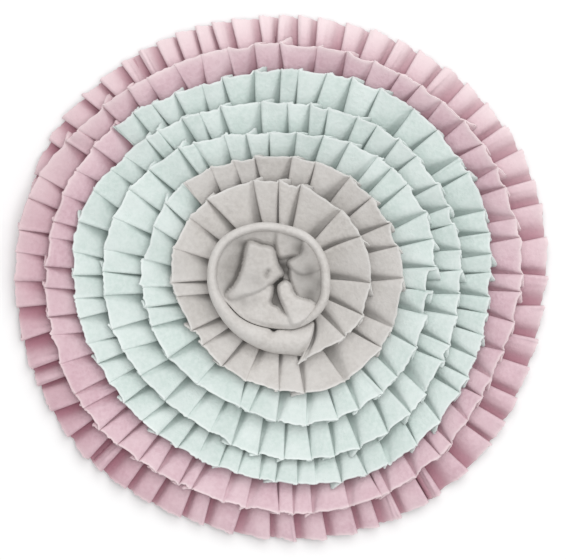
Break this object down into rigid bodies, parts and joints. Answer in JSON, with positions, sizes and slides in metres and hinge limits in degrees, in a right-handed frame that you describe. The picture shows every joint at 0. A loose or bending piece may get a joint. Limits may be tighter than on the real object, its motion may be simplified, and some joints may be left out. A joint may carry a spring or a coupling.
{
  "type": "snuffle mat",
  "caption": "Round ruffled fleece snuffle mat: knife-pleated strips in pink, mint and grey sewn in a spiral round a bunched centre on a flat base cloth.",
  "frame": {"origin": "centre of the mat's outline on the underside of the base cloth", "axes": "+Z out of the ruffled face, +Y towards the top of the mat as it is shown from above"},
  "size_m": [0.3816, 0.3754, 0.0379],
  "materials": {
    "base_cloth": "matt woven cloth",
    "grey_fleece": "soft matt fleece",
    "mint_fleece": "soft matt fleece",
    "pink_fleece": "soft matt fleece"
  },
  "bodies": {
    "root": {"base": "base_cloth", "strip_grey": "grey_fleece", "strip_mint": "mint_fleece", "strip_pink": "pink_fleece", "heart": "grey_fleece"}
  },
  "joints": []
}
